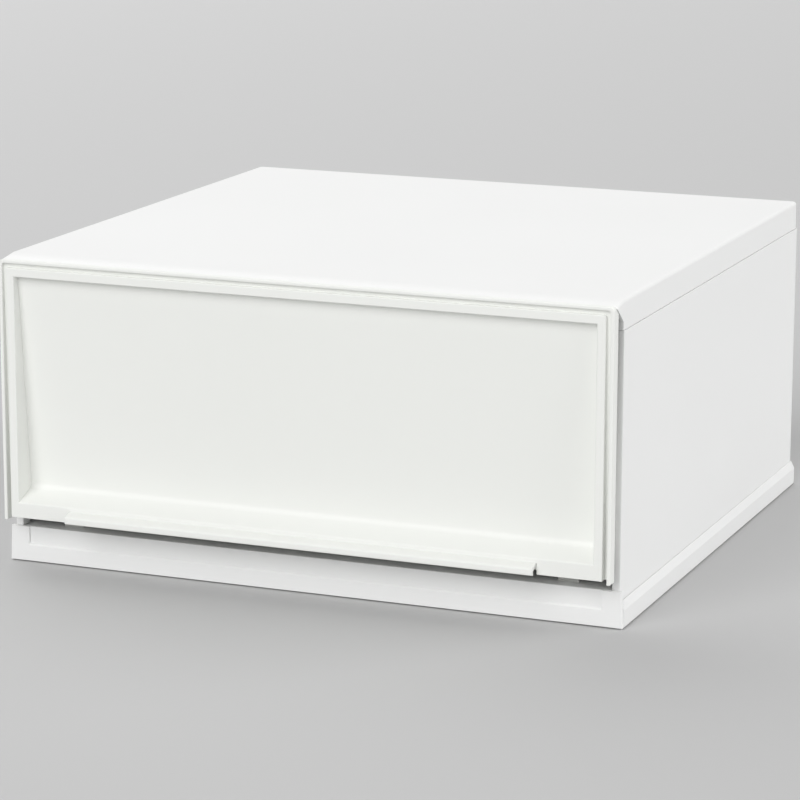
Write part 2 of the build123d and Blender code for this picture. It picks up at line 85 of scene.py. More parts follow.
class DrawerBoxSizes(bpy.types.PropertyGroup):
    wall: length("Wall", "Base, side and back mouldings", 2.4)
    skirt_wall: length("Skirt wall", "Skirt of the top panel", 2.2)
    skin: length("Skin", "Thickness of the flat top", 2.6)
    front_wall: length("Front wall", "Moulding of the drawer front", 2.0)
    tray_wall: length("Tray wall", "Walls of the drawer's tray", 2.2)
    seat_gap: length("Seat gap", "Between the base's band and the panels that stand in it", 0.06)
    rib: length("Rib", "Ribs under the base and the top", 1.8)
    rim: length("Rim", "Thin outer rim of the drawer front", 2.1)
    groove: length("Groove", "Between the rim and the frame", 2.4)
    frame: length("Frame", "Face of the frame round the recessed panel", 5.1)
    top_round: length("Top round", "Upper edges of the top panel", 2.0)
    edge_round: length("Edge round", "Front edges that a hand meets", 0.7)
    soft: length("Soft edge", "Every other moulded edge", 0.25)
    pitch: length("Thread pitch", "Screws", 1.1)


class DrawerBoxFinish(bpy.types.PropertyGroup):
    case_white: colour("Case white", "Plastic of the case", (0.915, 0.918, 0.912))
    drawer_white: colour(
        "Drawer white", "Plastic of the drawer front and its lip", (0.905, 0.915, 0.885),
    )
    tray_white: colour("Tray white", "Plastic of the drawer's tray", (0.89, 0.895, 0.88))
    natural: colour("Natural acetal", "Plastic of the runners and stop clips", (0.80, 0.80, 0.77))
    rubber: colour("Rubber", "Feet and bumpers", (0.30, 0.30, 0.295))
    steel: colour("Steel", "Zinc-plated screws", (0.62, 0.63, 0.65))
    grain: length("Grain", "Size of the moulded grain", 0.35)
    satin: number("Satin", "Roughness of the white plastic", 0.42, min=0, max=1)


class DrawerBoxStage(bpy.types.PropertyGroup):
    # painted shade: the near colour is darker than the far one, so the floor is shaded towards the
    # front and the right of the box in place of light falling off
    floor_near_shaded: colour("Near floor", "Pale floor ahead of the box", (0.521, 0.521, 0.521))
    floor_far: colour("Far floor", "Pale floor behind the box", (0.67, 0.67, 0.67))
    sky: number("Sky", "Strength of the even light all round", 0.25, min=0)
    front: number("Front light", "Soft light from the front", 1.83, min=0)
    right: number("Right light", "Soft light from the right", 0.77, min=0)
    right_back: number("Right back light", "Soft light from behind on the right", 0.98, min=0)
    left_back: number("Left back light", "Soft light from behind on the left", 0.88, min=0)
    azimuth: angle("Azimuth", "Camera to the right of the front", 21.9)
    elevation: angle("Elevation", "Camera above the horizon", 12.82)
    roll: angle("Roll", "Camera turned about its own axis", 0.147)
    distance: length("Distance", "Camera to the point that it looks at", 1995.5)
    lens: number("Lens", "Focal length in millimetres on 36 mm", 149.64, min=1)


# ---- node groups and materials ----

NOISE_LOW, NOISE_HIGH = 0.25, 0.75        # nearly all of a noise lies between them
SCUFF_STRETCH = (40.0, 900.0, 900.0)      # scuffs a metre, long along X and fine across it
SCUFF_TURN = (0.3, 0.5, 0.7)
PLASTIC_IOR = 1.49
PLASTIC_SPECULAR = 0.3                    # below 0.5, for the matte moulded face


def new_group(name, result, **inputs):
    """A shader node group with a vector, other inputs and one result."""
    def add(label, way, kind=None):
        kind = kind or ("NodeSocketColor" if label == "Colour" else "NodeSocketFloat")
        label = label.replace("_", " ")
        return group.interface.new_socket(name=label, in_out=way, socket_type=kind)
    group = bpy.data.node_groups.new(name, "ShaderNodeTree")
    add("Vector", "INPUT", "NodeSocketVector")
    for label, default in inputs.items():
        add(label, "INPUT").default_value = default
    add(result, "OUTPUT")
    source = group.nodes.new("NodeGroupInput")
    sink = group.nodes.new("NodeGroupOutput")
    source.location, sink.location = (-800, 0), (600, 0)
    return group, source.outputs, sink


def wire(tree, node, **values):
    """Sets or links sockets, which are named with _ for a space."""
    for name, value in values.items():
        socket = node.inputs[name.replace("_", " ")]
        if isinstance(value, bpy.types.NodeSocket):
            tree.links.new(value, socket)
        else:
            socket.default_value = value


def add_node(tree, kind, **values):
    node = tree.nodes.new(f"ShaderNode{kind}")
    wire(tree, node, **values)
    return node


def arithmetic(tree, operation, *terms):
    node = add_node(tree, "Math")
    node.operation = operation
    for socket, term in zip(node.inputs, terms):
        if isinstance(term, bpy.types.NodeSocket):
            tree.links.new(term, socket)
        else:
            socket.default_value = term
    return node.outputs[0]


def noise(tree, vector, scale, detail=2.0, roughness=0.5):
    return add_node(
        tree, "TexNoise", Vector=vector, Scale=scale, Detail=detail, Roughness=roughness,
    ).outputs["Fac"]


def spread(tree, value, low, high):
    """A noise stretched between low and high."""
    return add_node(
        tree, "MapRange", Value=value, From_Min=NOISE_LOW, From_Max=NOISE_HIGH,
        To_Min=low, To_Max=high,
    ).outputs["Result"]


def grain_group():
    """Fine moulded grain over faint sink marks, as a height in metres."""
    group, source, sink = new_group(
        "moulded_grain", "Height", Grain_Scale=2800.0, Grain_Height=6e-6, Sink_Height=4e-5,
    )
    vector = source["Vector"]
    fine = noise(group, vector, source["Grain Scale"], detail=3.0, roughness=0.6)
    broad = noise(group, vector, scale=9.0, detail=1.0)
    fine = arithmetic(group, "MULTIPLY", fine, source["Grain Height"])
    broad = arithmetic(group, "MULTIPLY", broad, source["Sink Height"])
    wire(group, sink, Height=arithmetic(group, "ADD", fine, broad))
    return group


def haze_group():
    """Handling haze: roughness that drifts over the surface, with fine scuffs in it."""
    group, source, sink = new_group(
        "handling_haze", "Roughness", Smooth=0.38, Rough=0.46, Scuffs=0.03,
    )
    vector = source["Vector"]
    drift = noise(group, vector, scale=14.0, detail=3.0, roughness=0.6)
    base = spread(group, drift, source["Smooth"], source["Rough"])
    stretch = add_node(group, "Mapping", Vector=vector, Scale=SCUFF_STRETCH, Rotation=SCUFF_TURN)
    scuff = noise(group, stretch.outputs["Vector"], scale=1.0, roughness=0.7)
    amount = arithmetic(group, "MULTIPLY", scuff, source["Scuffs"])
    wire(group, sink, Roughness=arithmetic(group, "ADD", base, amount))
    return group


def tone_group():
    """The resin's colour with a slight drift in tone."""
    group, source, sink = new_group(
        "resin_tone", "Colour", Colour=(0.9, 0.9, 0.9, 1), Drift=0.012, Scale=5.0,
    )
    cloud = noise(group, source["Vector"], source["Scale"])
    lowest = arithmetic(group, "SUBTRACT", 1.0, source["Drift"])
    scaled = add_node(group, "VectorMath")
    scaled.operation = "SCALE"
    group.links.new(source["Colour"], scaled.inputs[0])
    wire(group, scaled, Scale=spread(group, cloud, lowest, 1.0))
    wire(group, sink, Colour=scaled.outputs[0])
    return group


EFFECTS = {"moulded_grain": grain_group, "handling_haze": haze_group, "resin_tone": tone_group}


def use_effect(tree, name, **values):
    """Puts a shared effect in a material, with its own values, and gives its result."""
    node = add_node(tree, "Group")
    node.node_tree = bpy.data.node_groups.get(name) or EFFECTS[name]()
    wire(tree, node, **values)
    return node.outputs[0]


def new_material(name):
    """A material with its node tree, its shader and the object's own coordinates."""
    material = bpy.data.materials.new(name)
    material.use_nodes = True
    tree = material.node_tree
    vector = add_node(tree, "TexCoord").outputs["Object"]
    return material, tree, tree.nodes["Principled BSDF"], vector


def tone_and_haze(tree, shader, vector, tint, smooth, rough, scuffs, **tone):
    tone = use_effect(tree, "resin_tone", Vector=vector, Colour=(*tint, 1), **tone)
    haze = use_effect(
        tree, "handling_haze", Vector=vector, Smooth=smooth, Rough=rough, Scuffs=scuffs,
    )
    wire(tree, shader, Base_Color=tone, Roughness=haze)


def plastic(name, tint, smooth, rough, grain_height, drift=0.012, scuffs=0.03):
    """Moulded plastic or rubber: drifting tone, handling haze and a fine grain."""
    material, tree, shader, vector = new_material(name)
    tone_and_haze(tree, shader, vector, tint, smooth, rough, scuffs, Drift=drift)
    grain = use_effect(
        tree, "moulded_grain", Vector=vector, Grain_Height=grain_height, Sink_Height=3e-5,
        Grain_Scale=1 / bpy.context.scene.drawer_box_finish.grain,
    )
    bump = add_node(tree, "Bump", Strength=1.0, Distance=1.0, Height=grain)
    wire(
        tree, shader, Normal=bump.outputs["Normal"],
        IOR=PLASTIC_IOR, Specular_IOR_Level=PLASTIC_SPECULAR,
    )
    return material


def steel(name, tint, smooth, rough, scuffs):
    """Plated steel with fine turning marks."""
    material, tree, shader, vector = new_material(name)
    tone_and_haze(tree, shader, vector, tint, smooth, rough, scuffs, Drift=0.12, Scale=600.0)
    wire(tree, shader, Metallic=1.0)
    return material


def material_for(slot):
    """The material that goes in a slot, made the first time that it is asked for."""
    finish = bpy.context.scene.drawer_box_finish
    satin = finish.satin
    case = dict(tint=finish.case_white, smooth=satin - 0.04, rough=satin + 0.05, grain_height=4e-6)
    drawer = dict(
        tint=finish.drawer_white, smooth=satin - 0.06, rough=satin + 0.03, grain_height=4e-6,
    )
    tray = dict(tint=finish.tray_white, smooth=satin, rough=satin + 0.1, grain_height=6e-6)
    natural = dict(tint=finish.natural, smooth=0.26, rough=0.34, grain_height=2e-6, scuffs=0.08)
    rubber = dict(
        tint=finish.rubber, smooth=0.68, rough=0.8, grain_height=1.2e-5, drift=0.06, scuffs=0.05,
    )
    zinc = dict(tint=finish.steel, smooth=0.24, rough=0.38, scuffs=0.12)
    name, make, look = {
        "case_white": ("case_plastic", plastic, case),
        "drawer_white": ("drawer_plastic", plastic, drawer),
        "tray_white": ("tray_plastic", plastic, tray),
        "runner_plastic": ("natural_plastic", plastic, natural),
        "clip_plastic": ("natural_plastic", plastic, natural),
        "foot_rubber": ("grey_rubber", plastic, rubber),
        "bumper_rubber": ("grey_rubber", plastic, rubber),
        "screw_steel": ("zinc_steel", steel, zinc),
    }[slot]
    return bpy.data.materials.get(name) or make(name, **look)


# ---- modelling tools: millimetres, with y counted from the front face of the front rail ----

ORIGIN = Vector((0, RAIL_FACE, 0))
NEAR = 0.06           # how far off a place may be and still be that place
LEAST_CORNER = 15     # degrees: flatter edges are never bevelled
SMOOTH_BELOW = 40     # degrees: flatter edges are shaded smooth
MERGE = 0.004         # vertices nearer than this become one


def place(x, y, z):
    return ORIGIN + Vector((x, y, z)) * MM


def in_mm(point):
    return (point - ORIGIN) / MM


def near(point, **wanted):
    """True where a point has the coordinates given, such as x=(-10, 10), z=5."""
    for letter, values in wanted.items():
        values = values if isinstance(values, tuple) else (values,)
        if all(abs(point["xyz".index(letter)] - value) > NEAR for value in values):
            return False
    return True


def at(**wanted):
    """A test for points at the place given."""
    return lambda point: near(point, **wanted)


def line(letter="", **wanted):
    """A test for edges at the place given, which run along an axis if one is named."""
    return lambda mid, way: (not letter or along(way, letter)) and near(mid, **wanted)


def along(way, letter):
    return abs(way["xyz".index(letter)]) > 0.99


def everywhere(mid):
    return True


def sizes_mm(context):
    """The sizes that a user can change, as plain millimetres."""
    settings = context.scene.drawer_box_sizes
    return SimpleNamespace(
        **{name: getattr(settings, name) / MM for name in settings.__annotations__},
    )


def deselect_all():
    if bpy.context.mode != "OBJECT":
        bpy.ops.object.mode_set(mode="OBJECT")
    bpy.ops.object.select_all(action="DESELECT")


def make_active(piece):
    deselect_all()
    piece.select_set(True)
    bpy.context.view_layer.objects.active = piece


def settled(name):
    """The new primitive, named, with its place in its mesh."""
    bpy.ops.object.transform_apply(location=True, rotation=True, scale=True)
    piece = bpy.context.object
    piece.name = piece.data.name = name
    return piece


def block(name, x, y, z):
    """A block between places on each axis; one number for x is half its width."""
    deselect_all()
    x = x if isinstance(x, tuple) else (-x, x)
    low = place(min(x), min(y), min(z))
    high = place(max(x), max(y), max(z))
    bpy.ops.mesh.primitive_cube_add(size=1, location=(low + high) / 2, scale=high - low)
    return settled(name)


def pair(name, x, y, z):
    """A block at the right and its mirror image at the left, the left one first."""
    return [block(name, (side * x[0], side * x[1]), y, z) for side in (-1, 1)]


def upright_rod(name, x, y, z, radius, top_radius=None, sides=40):
    deselect_all()
    top_radius = radius if top_radius is None else top_radius
    bpy.ops.mesh.primitive_cone_add(
        vertices=sides, radius1=radius * MM, radius2=top_radius * MM,
        depth=(max(z) - min(z)) * MM, location=place(x, y, (z[0] + z[1]) / 2),
    )
    return settled(name)


def level_rod(name, x, y, z, radius, sides=40):
    deselect_all()
    bpy.ops.mesh.primitive_cylinder_add(
        vertices=sides, radius=radius * MM, depth=(max(y) - min(y)) * MM,
        location=place(x, (y[0] + y[1]) / 2, z), rotation=(math.pi / 2, 0, 0),
    )
    return settled(name)


def pick(kind, test):
    """In edit mode, selects only the vertices, edges or faces that pass the test."""
    bpy.ops.mesh.select_mode(type={"verts": "VERT", "edges": "EDGE", "faces": "FACE"}[kind])
    bpy.ops.mesh.select_all(action="DESELECT")
    piece = bpy.context.object
    mesh = bmesh.from_edit_mesh(piece.data)
    found = [item for item in getattr(mesh, kind) if test(item)]
    if not found:
        raise RuntimeError(f"{piece.name}: no {kind} at the place asked for")
    for item in found:
        item.select_set(True)
    mesh.select_flush_mode()
    bmesh.update_edit_mesh(piece.data)


def pick_facing(facing, test):
    """Selects the faces that face a way and whose middle passes the test."""
    def wanted(face):
        return face.normal.dot(Vector(facing)) > 0.7 and test(in_mm(face.calc_center_median()))
    pick("faces", wanted)


def edit(piece):
    make_active(piece)
    bpy.ops.object.mode_set(mode="EDIT")


def done():
    bpy.ops.object.mode_set(mode="OBJECT")


def cut(piece, letter, *values):
    """Cuts edges all round a piece at places on an axis."""
    normal = Vector([float(other == letter) for other in "xyz"])
    edit(piece)
    for value in values:
        bpy.ops.mesh.select_all(action="SELECT")
        bpy.ops.mesh.bisect(plane_co=place(*(normal * value)), plane_no=normal)
    done()


def pull(piece, facing, test, move):
    """Extrudes the faces that face a way and pass the test."""
    edit(piece)
    pick_facing(facing, test)
    bpy.ops.mesh.extrude_region_move(TRANSFORM_OT_translate={"value": Vector(move) * MM})
    done()


def inset(piece, facing, test, width, depth=0.0):
    edit(piece)
    pick_facing(facing, test)
    bpy.ops.mesh.inset(thickness=width * MM, depth=depth * MM, use_even_offset=True)
    done()


def shift(piece, test, move):
    """Moves the vertices that pass the test."""
    edit(piece)
    pick("verts", lambda vertex: test(in_mm(vertex.co)))
    bpy.ops.transform.translate(value=Vector(move) * MM)
    done()


def bevel(piece, test, width, segments=4):
    """Rounds the edges whose middle and direction pass the test; one segment is a chamfer."""
    def wanted(edge):
        if edge.calc_face_angle() < math.radians(LEAST_CORNER):
            return False
        first, second = (in_mm(vertex.co) for vertex in edge.verts)
        return test((first + second) / 2, (second - first).normalized())
    edit(piece)
    pick("edges", wanted)
    bpy.ops.mesh.bevel(offset=width * MM, segments=segments, affect="EDGES")
    done()


def gather(*pieces):
    """Several loose shapes as one object."""
    make_active(pieces[0])
    for piece in pieces[1:]:
        piece.select_set(True)
    if len(pieces) > 1:
        bpy.ops.object.join()
    return bpy.context.object


def combine(piece, other, operation):
    make_active(piece)
    modifier = piece.modifiers.new("combine", "BOOLEAN")
    modifier.operation = operation
    modifier.solver = "EXACT"
    modifier.object = other
    bpy.ops.object.modifier_apply(modifier=modifier.name)
    bpy.data.objects.remove(other, do_unlink=True)


def weld(piece, *others):
    for other in others:
        combine(piece, other, "UNION")


def carve(piece, *cutters):
    for cutter in cutters:
        combine(piece, cutter, "DIFFERENCE")


def soften(piece, width, shortest=1.0, least=35, where=everywhere):
    """A small radius on the sharp edges that are left, then shading that keeps flat faces flat."""
    def wanted(edge):
        if edge.calc_length() < shortest * MM or edge.calc_face_angle() < math.radians(least):
            return False
        return where(in_mm((edge.verts[0].co + edge.verts[1].co) / 2))
    edit(piece)
    pick("edges", wanted)
    bpy.ops.mesh.bevel(
        offset=width * MM, segments=2, affect="EDGES", clamp_overlap=False, loop_slide=False,
    )
    bpy.ops.mesh.select_all(action="SELECT")
    bpy.ops.mesh.remove_doubles(threshold=MERGE * MM)
    bpy.ops.mesh.dissolve_degenerate(threshold=MERGE * MM)
    done()
    bpy.ops.object.shade_smooth_by_angle(angle=math.radians(SMOOTH_BELOW))
    modifier = piece.modifiers.new("flat_faces", "WEIGHTED_NORMAL")
    modifier.weight = 100
    modifier.keep_sharp = True
    bpy.ops.object.modifier_apply(modifier=modifier.name)


def hand_over(piece, body, slot, *nodes):
    """Gives a finished piece its material and puts it in the place of its CAD nodes."""
    piece.data.materials.clear()
    piece.data.materials.append(material_for(slot))
    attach(piece, body)
    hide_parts(*nodes)


def box_of(node):
    """A CAD node's lowest and highest corners in millimetres."""
    low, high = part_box(node)
    return in_mm(Vector(low)), in_mm(Vector(high))


def reach_of(node):
    """Half the width of a centred CAD node, its front and back, and its bottom and top."""
    low, high = box_of(node)
    return high.x, low.y, high.y, low.z, high.z


# ---- case ----

BAND_TOP = 10.5              # base: bevelled band outside the panels
BAND_LEDGE = 2.5             # from the band's face back to the panels
CHANNEL_FLOOR = 6
PANEL_TOP = 163.2            # side and back panels, just under the skirt
TONGUE_BOTTOM = 150.2
INSIDE_X, INSIDE_BACK = 177.1, 340.1    # inside the tongues
RETURN_BOTTOM = 20.5         # flanges and returns of the panels start above the channel
BROW_FALL = 8.9 / 11.0       # slope under the brow, and of the rim's back
RUNNER_X = 150.0
RUNNER_SCREW_Y = (60.0, 290.0)
RUNNER_SCREWS = [(x, y) for x in (-RUNNER_X, RUNNER_X) for y in RUNNER_SCREW_Y]
SCREW_PILOT, SCREW_CORE = 1.4, 1.12     # radii of the holes and of the screws between crests
FOOT_PLACES = {
    "front_left_foot": (-160, 24), "front_right_foot": (160, 24),
    "rear_left_foot": (-160, 324), "rear_right_foot": (160, 324),
}
PEG_X, PEG_Z = (-150, -50, 50, 150), 12
BUMPER_X, BUMPER_Z = 120, 60


def add_base_ribs(base, rib, half, front, back, top):
    """Three ribs each way; rib is half their thickness."""
    height = (8, top + 1)
    lengthwise = [
        block("rib", (x - rib, x + rib), (front - 1, back + 1), height)
        for x in (-half / 2, 0, half / 2)
    ]
    crosswise = [
        block("rib", half + 1, (y - rib, y + rib), height)
        for y in (front + (back - front) * share for share in (0.25, 0.5, 0.75))
    ]
    weld(base, gather(*lengthwise), gather(*crosswise))


def add_sockets(base):
    """Bosses with pilot holes for the runner screws, and sockets with cores for the feet."""
    feet = FOOT_PLACES.values()
    inside = 18.8
    bosses = [upright_rod("boss", x, y, (8, inside), 4.5) for x, y in RUNNER_SCREWS]
    sockets = [upright_rod("socket", x, y, (1.8, inside), 10.6) for x, y in feet]
    weld(base, gather(*bosses, *sockets))
    pilots = [upright_rod("pilot", x, y, (0, 30), SCREW_PILOT) for x, y in RUNNER_SCREWS]
    seats = [upright_rod("seat", x, y, (-5, 3.2), 8.2) for x, y in feet]
    cores = [upright_rod("core", x, y, (5.6, 30), 7) for x, y in feet]
    carve(base, gather(*pilots, *seats, *cores))


class DRAWERBOX_OT_base_tray(bpy.types.Operator):
    """Base moulding: bevelled band, channel for the panels, floor, ribs, sockets and bosses"""
    bl_idname = "drawer_box.base_tray"
    bl_label = "Base tray"

    def execute(self, context):
        size = sizes_mm(context)
        half, front, back, bottom, floor = reach_of("base_tray")
        base = block("base_tray.shell", half, (front - 20, back), (bottom, BAND_TOP))
        bevel(base, line("z", y=back), 4, 6)
        inset(base, (0, 0, 1), everywhere, 2.0, 4.5)
        edit(base)
        bpy.ops.mesh.select_all(action="SELECT")
        bpy.ops.mesh.bisect(
            plane_co=place(0, front, 0), plane_no=(0, 1, 0), use_fill=True, clear_inner=True,
        )
        done()
        outer, outer_back = (end - BAND_LEDGE + size.seat_gap for end in (half, back))
        carve(base, block("channel", outer, (-20, outer_back), (CHANNEL_FLOOR, 50)))
        core, core_back = (end - BAND_LEDGE - size.wall - 0.2 for end in (half, back))
        front_wall_y, hollow_top = (front, front + size.wall), 3.6
        weld(
            base,
            block("core", core, (front, core_back), (hollow_top, floor)),
            block("front_wall", outer, front_wall_y, (bottom, CHANNEL_FLOOR)),
        )
        wide, under = half - size.wall, core - size.wall
        under_front, under_back = front + size.wall, core_back - size.wall
        under_top = floor - size.wall
        carve(
            base,
            block("hollow", wide, (under_front, back - size.wall), (-5, hollow_top)),
            block("hollow", under, (under_front, under_back), (-5, under_top)),
        )
        add_base_ribs(base, size.rib / 2, under, under_front, under_back, under_top)
        add_sockets(base)
        pegs = [level_rod("peg_hole", x, (-1, under_front + 1), PEG_Z, 2.2) for x in PEG_X]
        carve(base, gather(*pegs))
        soften(base, size.soft, least=20, where=lambda mid: mid.y > front + 0.1)
        hand_over(base, "case", "case_white", "base_tray")
        return {"FINISHED"}


class DRAWERBOX_OT_front_rail(bpy.types.Operator):
    """Rail across the front: lower band, recessed field between two posts, pegs behind"""
    bl_idname = "drawer_box.front_rail"
    bl_label = "Front rail"

    def execute(self, context):
        size = sizes_mm(context)
        half, _, peg_back, bottom, top = reach_of("front_rail")
        band, field = 11.2, 172.7
        sunk, lean, joint, ledge = 1.1, 0.8, 0.14, 1.05
        rail = block("front_rail.shell", half, (sunk, size.wall + joint), (bottom, top))
        shift(rail, at(x=half, z=top), (-lean, 0, 0))
        shift(rail, at(x=-half, z=top), (lean, 0, 0))
        cut(rail, "z", band)
        cut(rail, "x", -field, field)
        pull(rail, (0, -1, 0), lambda mid: mid.z < band or abs(mid.x) > field, (0, -sunk, 0))
        pegs = [level_rod("peg", x, (size.wall - 1, peg_back), PEG_Z, 2) for x in PEG_X]
        weld(rail, gather(*pegs))
        bevel(rail, lambda mid, way: near(mid, y=0) and abs(mid.x) > half - 1, size.edge_round)
        edge = line("x", y=0, z=band)
        bevel(rail, lambda mid, way: edge(mid, way) and abs(mid.x) < field, ledge, 1)
        soften(rail, size.soft, where=lambda mid: mid.y < size.wall)
        hand_over(rail, "case", "case_white", "front_rail")
        return {"FINISHED"}


def add_top_ribs(panel, rib, under):
    """Ribs under the flat top, and keepers inside the tongues of the panels."""
    inside = under + 1
    keeper_z = (under - 11, inside)
    ribs = [
        block("rib", (x - rib / 2, x + rib / 2), (3.8, INSIDE_BACK - 1), (under - 3.9, inside))
        for x in (INSIDE_X * share / 3 for share in (-2, -1, 0, 1, 2))
    ]
    keepers = [
        block("keeper", (x - 15, x + 15), (INSIDE_BACK - rib, INSIDE_BACK), keeper_z)
        for x in (INSIDE_X * share / 6 for share in (-3, -1, 1, 3))
    ]
    for y in (60, 174, 288):
        keepers += pair("keeper", (INSIDE_X - rib, INSIDE_X), (y - 15, y + 15), keeper_z)
    weld(panel, gather(*ribs), gather(*keepers))


class DRAWERBOX_OT_top_panel(bpy.types.Operator):
    """Flat top with its skirt, the brow over the drawer front, stop apron, ribs and keepers"""
    bl_idname = "drawer_box.top_panel"
    bl_label = "Top panel"

    def execute(self, context):
        size = sizes_mm(context)
        half, tip, back, bottom, top = reach_of("top_panel")
        start, drop, tip_under = 4.0, 1.8, top - 3.1
        panel = block("top_panel.shell", half, (start, back), (bottom, top))
        bevel(panel, line("z", y=back), 3, 6)
        pull(panel, (0, -1, 0), everywhere, (0, tip - start, -drop))
        shift(panel, lambda p: near(p, y=tip) and p.z < bottom, (0, 0, drop))
        bevel(
            panel,
            lambda mid, way: mid.z > top - 1 and (abs(mid.x) > half - 3.5 or mid.y > back - 3.5)
            and not (along(way, "x") and mid.y < start + 1),
            size.top_round, 6,
        )
        bevel(panel, lambda mid, way: near(mid, y=tip) and mid.z > tip_under, 0.6, 3)
        brow_back, cut_bottom = 2.4, 100
        under_brow = block(
            "under_brow", half + 5, (tip - 2, brow_back),
            (cut_bottom, tip_under + 2 * BROW_FALL),
        )
        shift(
            under_brow, lambda p: near(p, y=brow_back) and p.z > tip_under,
            (0, 0, -13 * BROW_FALL),
        )
        inner = half - size.skirt_wall
        inside = (4.8, back - size.skirt_wall)
        apron_x, apron_y = 177.5, (1.4, 5.8)    # leaves a small web in each front corner
        carve(
            panel,
            under_brow,
            block("brow_hollow", inner, (tip - 2, brow_back), (cut_bottom, tip_under)),
            block("hollow", inner, inside, (cut_bottom, top - size.skin)),
            block("apron_foot", apron_x, apron_y, (cut_bottom, top - 11)),
        )
        add_top_ribs(panel, size.rib, top - size.skin)
        # a sharp lower edge keeps the seam under the skirt as light as it is in the photograph
        soften(panel, size.soft, where=lambda mid: mid.z > bottom + 0.1)
        hand_over(panel, "case", "case_white", "top_panel")
        return {"FINISHED"}


class DRAWERBOX_OT_side_panels(bpy.types.Operator):
    """Side walls, each a plate with a front flange and a tongue under the top"""
    bl_idname = "drawer_box.side_panels"
    bl_label = "Side panels"

    def execute(self, context):
        size = sizes_mm(context)
        low, high = box_of("right_side_panel")
        flange_back, flange_in, top = low.y + 8, 2.2, high.z
        for side, name in ((1, "right_side_panel"), (-1, "left_side_panel")):
            outer, inner, tongue_x = side * high.x, side * (high.x - size.wall), side * low.x
            panel = block(f"{name}.shell", (inner, outer), (low.y, high.y), (low.z, PANEL_TOP))
            cut(panel, "z", RETURN_BOTTOM)
            cut(panel, "y", flange_back)
            pull(
                panel, (-side, 0, 0),
                lambda mid: mid.y < flange_back and mid.z > RETURN_BOTTOM,
                (-side * flange_in, 0, 0),
            )
            tongue = block(
                "tongue", (tongue_x, inner), (5.1, INSIDE_BACK), (TONGUE_BOTTOM, PANEL_TOP),
            )
            pull(tongue, (0, 0, 1), everywhere, (0, 0, top - PANEL_TOP))
            shift(tongue, at(z=top, x=inner), (-side * 0.6, 0, 0))
            shift(tongue, at(z=TONGUE_BOTTOM, x=tongue_x), (side * 0.8, 0, 0))
            weld(panel, tongue)
            bevel(panel, line("z", x=outer, y=low.y), size.edge_round)
            soften(panel, size.soft)
            hand_over(panel, "case", "case_white", name)
        return {"FINISHED"}


class DRAWERBOX_OT_back_panel(bpy.types.Operator):
    """Back wall with side returns, an upper tongue and two bumper seats"""
    bl_idname = "drawer_box.back_panel"
    bl_label = "Back panel"

    def execute(self, context):
        size = sizes_mm(context)
        half, _, back, bottom, top = reach_of("back_panel")
        front = back - size.wall
        return_in, return_out, return_top = 177.8, 179.8, 149.9
        panel = block("back_panel.shell", half, (front, back), (bottom, PANEL_TOP))
        cut(panel, "x", -return_out, -return_in, return_in, return_out)
        cut(panel, "z", RETURN_BOTTOM, return_top)
        pull(
            panel, (0, -1, 0),
            lambda mid: return_in < abs(mid.x) < return_out
            and RETURN_BOTTOM < mid.z < return_top,
            (0, -12, 0),
        )
        tongue = block("tongue", INSIDE_X, (INSIDE_BACK + 0.3, 342.5), (TONGUE_BOTTOM, top))
        cut(tongue, "z", PANEL_TOP)
        pull(tongue, (0, 1, 0), lambda mid: mid.z < PANEL_TOP, (0, 1.6, 0))
        weld(panel, tongue)
        bevel(panel, line("z", x=(-half, half), y=back), 2, 5)
        places = (-BUMPER_X, BUMPER_X)
        rings = [level_rod("ring", x, (front - 6, front + 1), BUMPER_Z, 7.2) for x in places]
        seats = [level_rod("seat", x, (front - 8, front), BUMPER_Z, 5.2) for x in places]
        weld(panel, gather(*rings))
        carve(panel, gather(*seats))
        soften(panel, size.soft)
        hand_over(panel, "case", "case_white", "back_panel")
        return {"FINISHED"}


class DRAWERBOX_OT_runners(bpy.types.Operator):
    """Low-friction runners with two grooves and countersunk holes"""
    bl_idname = "drawer_box.runners"
    bl_label = "Runners"

    def execute(self, context):
        hole, sink_depth, sink_top = 1.5, 2.86, 3.06
        for side, name in ((1, "right_runner"), (-1, "left_runner")):
            low, high = box_of(name)
            middle, top = side * RUNNER_X, high.z
            runner = block(f"{name}.strip", (low.x, high.x), (low.y, high.y), (low.z, top))
            bevel(runner, line(z=top), 1.2, 5)
            grooves = [
                block("groove", (x - 0.5, x + 0.5), (low.y - 5, high.y + 5), (top - 0.5, 40))
                for x in (middle - 3.6, middle + 3.6)
            ]
            holes = [
                upright_rod("hole", middle, y, (low.z - 1, top + 1), hole) for y in RUNNER_SCREW_Y
            ]
            sinks = [
                upright_rod("sink", middle, y, (top - sink_depth, top), hole, sink_top)
                for y in RUNNER_SCREW_Y
            ]
            for sink in sinks:
                pull(sink, (0, 0, 1), everywhere, (0, 0, 1))
            carve(runner, gather(*grooves), gather(*holes), gather(*sinks))
            soften(runner, 0.15)
            hand_over(runner, "case", "runner_plastic", name)
        return {"FINISHED"}


class DRAWERBOX_OT_feet(bpy.types.Operator):
    """Round rubber feet with a ring groove in the tread"""
    bl_idname = "drawer_box.feet"
    bl_label = "Feet"

    def execute(self, context):
        radius, rim_width, groove_width, groove_depth = 8, 2.2, 1.2, 0.6
        groove_out = radius - rim_width
        for name, (x, y) in FOOT_PLACES.items():
            low, high = box_of(name)
            foot = upright_rod(f"{name}.pad", x, y, (low.z, high.z), radius, sides=64)
            inset(foot, (0, 0, -1), everywhere, rim_width)
            inset(foot, (0, 0, -1), at(x=x, y=y), groove_width)

            def from_middle(mid):
                return math.dist(mid.xy, (x, y))

            pull(
                foot, (0, 0, -1),
                lambda mid: groove_out - groove_width < from_middle(mid) < groove_out,
                (0, 0, groove_depth),
            )
            bevel(
                foot, lambda mid, way: near(mid, z=low.z) and from_middle(mid) > radius - 0.1,
                0.5, 3,
            )
            soften(foot, 0.12, 0.3)
            hand_over(foot, "case", "foot_rubber", name)
        return {"FINISHED"}


